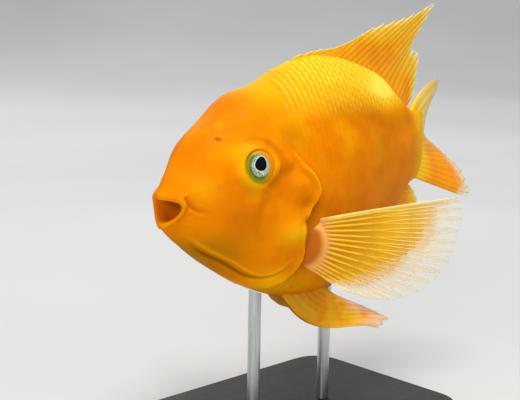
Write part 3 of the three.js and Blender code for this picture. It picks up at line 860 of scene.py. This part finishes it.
# The tail fin fans out from the end of the tail stem in two lobes, cupped to the fish's right.
# Its membrane thins to a pale, ragged hem.
CAUDAL_RAYS = 16
caudal_root = line_of([(144, 0, 27.5), (148.5, 0, 19), (149, 0, 11), (149, 0, 4), (147, 0, -2.5)])
caudal_tip = line_of([
    (188.4, 17, 38.9), (191, 20, 34), (187, 22, 25.3), (184.6, 23, 18), (184.2, 22, 11.3),
    (186.8, 16.5, 6.1), (189.2, 12, 1.9), (191, 5, -3.6), (190.6, 0.5, -9.5), (188.6, -3, -14.4),
    (182, -3, -15),
])


def caudal_at(u, v):
    end = caudal_tip(u)
    point = caudal_root(u).lerp(end, v)
    bulge = 4 * max(0, 1 - u / 0.3) ** 2 * v * (1 - v)
    return point + Vector((-3.6 * bulge, end.y * (max(v, 0) ** 1.4 - v), 3.3 * bulge))


def caudal_paint(value, u, v, away):
    cloud = value.noise(110, 3)
    wander = v + (cloud - 0.5) * 0.35
    low = (u + (cloud - 0.5) * 0.2).between(0.3, 0.55)
    colour = low.mix(FIN_STRAW, FIN_ORANGE)
    colour = v.between(0.12, 0.4).mix(YELLOW, colour)
    colour = (wander.between(0.75, 0.98) * 0.8).mix(colour, FIN_CREAM)
    return colour, 1 - 0.35 * wander.between(0.7, 1.0)


caudal_sheet = fin_sheet(
    "caudal_sheet", caudal_at, SIDEWAYS, tapered(0.35, 2.1, 0.7), scallop(CAUDAL_RAYS, 0.06),
    9 * CAUDAL_RAYS, 36, fin_material("caudal_skin", caudal_paint, CAUDAL_RAYS))
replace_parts(caudal_sheet, "fin_caudal_upper", "fin_caudal_lower")
caudal_runs = branching(CAUDAL_RAYS, 0.5, lambda u: 0.1)
fin_rays("caudal_rays", caudal_at, SIDEWAYS, caudal_runs, lambda u: 1, pale_ray)

# Each pectoral fin flares out from a fleshy lobe behind the gill cover. Its thick top ray and
# thin branching rays carry a membrane that is gold near the lobe and clear at the frayed tips.
FLARE = math.radians(46)
PECTORAL_AT = Vector((61, 24, -12.5))
PECTORAL_RAYS = 15
LOBE, LOBE_SWELL = 6.8, 4.2  # how far the fleshy lobe reaches, and how much more in its middle
LOBE_PEACH = (0.92, 0.42, 0.10, 1)
LOBE_RED = (0.55, 0.13, 0.002, 1)
WEB_GOLD = (0.58, 0.25, 0, 1)


def web_paint(value, u, v, away):
    cloud = value.noise(140, 3)
    colour = v.between(0.25, 0.75).mix(WEB_GOLD, FIN_YELLOW)
    past = away - LOBE - LOBE_SWELL * value.node("Math", {"operation": "SINE"}, {0: 0.3 + u * 2.8})
    colour = past.between(-2.0, 1.0).mix(LOBE_PEACH, colour)
    colour = (past + 6.0 * (1 - u.between(0.0, 0.25))).between(-5.0, -1.5).mix(LOBE_RED, colour)
    clear = (v + u * 0.32 + (cloud - 0.5) * 0.25).between(0.66, 0.98)
    return colour, 1 - 0.9 * clear


def hair_paint(value, u, v, away):
    colour = u.between(0.0, 0.1).mix(FIN_STRAW, FIN_YELLOW)
    colour = away.between(LOBE, LOBE + LOBE_SWELL + 5).mix(LOBE_PEACH, colour)
    return v.between(0.55, 0.85).mix(colour, FIN_CREAM), None


web_skin = fin_material("pectoral_web", web_paint)
hair_ray = fin_material("pectoral_ray", hair_paint)
for side, sign in (("left", -1), ("right", 1)):
    out_x, out_y = math.cos(FLARE), sign * math.sin(FLARE)

    def in_plane(reach, rise):
        return PECTORAL_AT.x + reach * out_x, sign * PECTORAL_AT.y + reach * out_y, PECTORAL_AT.z + rise

    pectoral_root = line_of([in_plane(*spot) for spot in (
        (-7, 3.4), (-6.4, 0), (-6, -4), (-6.4, -8), (-8, -11.6))])
    pectoral_tip = line_of([in_plane(*spot) for spot in (
        (54, 15.6), (55.8, 8.5), (54, -1.8), (51.4, -10), (44.6, -19.6), (33, -26), (22, -26.4),
        (10, -23.4))])

    def pectoral_at(u, v):
        point = pectoral_root(u).lerp(pectoral_tip(u), v)
        point.y -= sign * 1.5 * math.sin(math.pi * v)
        return point

    def lobe_end(u):
        return LOBE + LOBE_SWELL * math.sin(0.3 + 2.8 * u)

    def past_lobe(u):
        return (lobe_end(u) - 1.8) / (pectoral_tip(u) - pectoral_root(u)).length

    def lobe_thick(u, v, away):
        end = lobe_end(u)
        fleshy = 1 - ease(away, end - 5, end + 0.5)
        return 0.18 + 3.9 * fleshy * (0.35 + 0.65 * math.sin(math.pi * u) ** 0.6)

    outward = Vector((math.sin(FLARE), -sign * math.cos(FLARE), 0))
    pectoral_sheet = fin_sheet(
        f"pectoral_sheet_{side}", pectoral_at, outward, lobe_thick, scallop(PECTORAL_RAYS, 0.16, 3),
        12 * PECTORAL_RAYS, 48, web_skin)
    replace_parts(pectoral_sheet, f"fin_pectoral_{side}")
    runs = branching(PECTORAL_RAYS, 0.66, past_lobe, (0.48, 0.7), 1.05)
    runs += [(0.004, 0.004, 0.08, 1, 0.7, 0.2), (0.018, 0.014, 0.1, 0.97, 0.6, 0.16)]
    fin_rays(f"pectoral_rays_{side}", pectoral_at, outward, runs, lambda u: 1, hair_ray)

# The pelvic fins trail under the belly. Each has one stout leading spine and soft orange rays,
# with a creamy leading edge.
PELVIC_RAYS = 6
PELVIC_PINK = (0.93, 0.60, 0.34, 1)


def pelvic_paint(value, u, v, away):
    cloud = value.noise(120, 3)
    colour = cloud.between(0.35, 0.65).mix(FIN_ORANGE, FIN_YELLOW)
    colour = ((1 - v) * 0.5).mix(colour, OLIVE)
    colour = (v + u * 0.2 + (cloud - 0.5) * 0.3).between(0.7, 1.0).mix(colour, PELVIC_PINK)
    return colour, 1 - 0.5 * (v + (cloud - 0.5) * 0.3).between(0.75, 1.0)


pelvic_skin = fin_material("pelvic_skin", pelvic_paint, PELVIC_RAYS)
for side, sign, spread, drop in (("left", -1, 1, 64), ("right", 1, 0.5, 34)):
    pelvic_root = line_of([(x, sign * y, z) for x, y, z in (
        (59, 5, -39), (66, 6, -40), (73, 6.5, -41), (80, 7, -41))])
    pelvic_tip = line_of([(x, sign * (7 + y * spread), z) for x, y, z in (
        (102, 15, -60.4), (108.3, 15, -57.4), (105, 13.5, -55), (97, 11, -50.6), (89, 7, -46.8))])

    def pelvic_at(u, v):
        point = pelvic_root(u).lerp(pelvic_tip(u), v)
        point.z -= drop * (1 - u) * v * (1 - v) ** 2
        return point

    outward = Vector((0.1, sign * 0.9, 0.42)).normalized()
    pelvic_sheet = fin_sheet(
        f"pelvic_sheet_{side}", pelvic_at, outward, tapered(0.4, 2.6), scallop(PELVIC_RAYS, 0.04),
        12 * PELVIC_RAYS, 40, pelvic_skin)
    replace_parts(pelvic_sheet, f"fin_pelvic_{side}")
    runs = branching(PELVIC_RAYS, 0.55, lambda u: 0.05, (0.4, 0.65))
    runs.append((0.01, 0.01, 0.03, 1, 0.8, 0.2))
    fin_rays(f"pelvic_rays_{side}", pelvic_at, outward, runs, lambda u: 1, pale_ray)

# The stand is a flat slab of dark stained composite with eased edges, and two brushed steel
# rods that end against the belly.
slab_satin, shader, value = new_material("stand_satin", Specular_IOR_Level=0.4)
grain = value.noise(60, 5, (0.15, 1, 1))
connect(grain.between(0.3, 0.7).mix((0.018, 0.018, 0.02, 1), (0.032, 0.031, 0.033, 1)), shader,
        "Base Color")
connect(0.42 + 0.18 * value.noise(300, 3), shader, "Roughness")
add_bump(value.noise(2500, 2), shader, 0.0002, 0.25)
rod_steel, shader, value = new_material("stand_steel", Metallic=1.0)
brushed = value.noise(1800, 3, (1, 1, 0.04))
connect(brushed.between(0.3, 0.7).mix((0.48, 0.49, 0.50, 1), (0.62, 0.63, 0.64, 1)), shader, "Base Color")
connect(0.24 + 0.2 * brushed, shader, "Roughness")
for node, material in (("stand_base", slab_satin), ("stand_rod_1", rod_steel), ("stand_rod_2", rod_steel)):
    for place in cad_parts[node].material_slots:
        place.material = material

# The studio: a pale floor that sweeps up into a pale backdrop, one large soft light overhead
# and two weaker ones, and the camera at the photograph's place.
bpy.context.scene.view_settings.view_transform = "Standard"
camera_forward = Vector((0.68533, 0.70332, -0.18887))
camera_right = Vector((0.71849, -0.69531, 0.01785))
camera_up = Vector((0.11877, 0.14794, 0.98184))
CAMERA_AT = (-270.446, -330.783, 86.755)  # in mm from the fish's snout
SWEEP_FROM, SWEEP_RADIUS = 1.6, 1.2
away = Vector((camera_forward.x, camera_forward.y, 0)).normalized()
beside = Vector((-away.y, away.x, 0))
floor = bmesh.new()
bmesh.ops.create_grid(floor, x_segments=2, y_segments=60, size=4)
for vert in floor.verts:
    run = vert.co.y
    bend = min(max(run - SWEEP_FROM, 0) / SWEEP_RADIUS, math.pi / 2)
    wall = max(run - SWEEP_FROM - SWEEP_RADIUS * math.pi / 2, 0)
    height = SWEEP_RADIUS * (1 - math.cos(bend)) + wall
    vert.co = away * (min(run, SWEEP_FROM) + SWEEP_RADIUS * math.sin(bend)) + beside * vert.co.x
    vert.co.z = height
face_outwards(floor)
floor_paint, shader, value = new_material("floor_paint", Roughness=0.7, Specular_IOR_Level=0.2)
connect(value.noise(3, 2).between(0.2, 0.8).mix((0.60, 0.61, 0.61, 1), (0.66, 0.665, 0.66, 1)), shader,
        "Base Color")
add_piece("studio_floor", floor, floor_paint, None)


def soft_light(name, place, size, power, colour):
    data = bpy.data.lights.new(name, "AREA")
    data.shape, data.size, data.energy, data.color = "DISK", size, power, colour
    light = bpy.data.objects.new(name, data)
    light.visible_camera = False
    light.location = place
    light.rotation_euler = (Vector((0, 0, 0.1)) - Vector(place)).to_track_quat("-Z", "Y").to_euler()
    bpy.context.scene.collection.objects.link(light)


soft_light("light_above", (-0.15, -0.5, 2.2), 1.3, 41, (1, 0.98, 0.94))
soft_light("light_front", (-2.0, -1.4, 0.9), 1.5, 22, (1, 1, 1))
soft_light("light_behind", (0.6, 1.4, 1.2), 1.0, 8, (0.95, 0.98, 1))
world = bpy.data.worlds.new("studio_air")
world.use_nodes = True
world.node_tree.nodes["Background"].inputs["Color"].default_value = (0.94, 0.95, 1, 1)
world.node_tree.nodes["Background"].inputs["Strength"].default_value = 0.35
bpy.context.scene.world = world
camera_data = bpy.data.cameras.new("camera")
camera_data.sensor_width, camera_data.lens, camera_data.clip_start = 36, 81.41, 0.01
camera = bpy.data.objects.new("camera", camera_data)
camera.matrix_world = (Matrix.Translation(in_frame(CAMERA_AT))
                       @ Matrix((camera_right, camera_up, -camera_forward)).transposed().to_4x4())
bpy.context.scene.collection.objects.link(camera)
bpy.context.scene.camera = camera
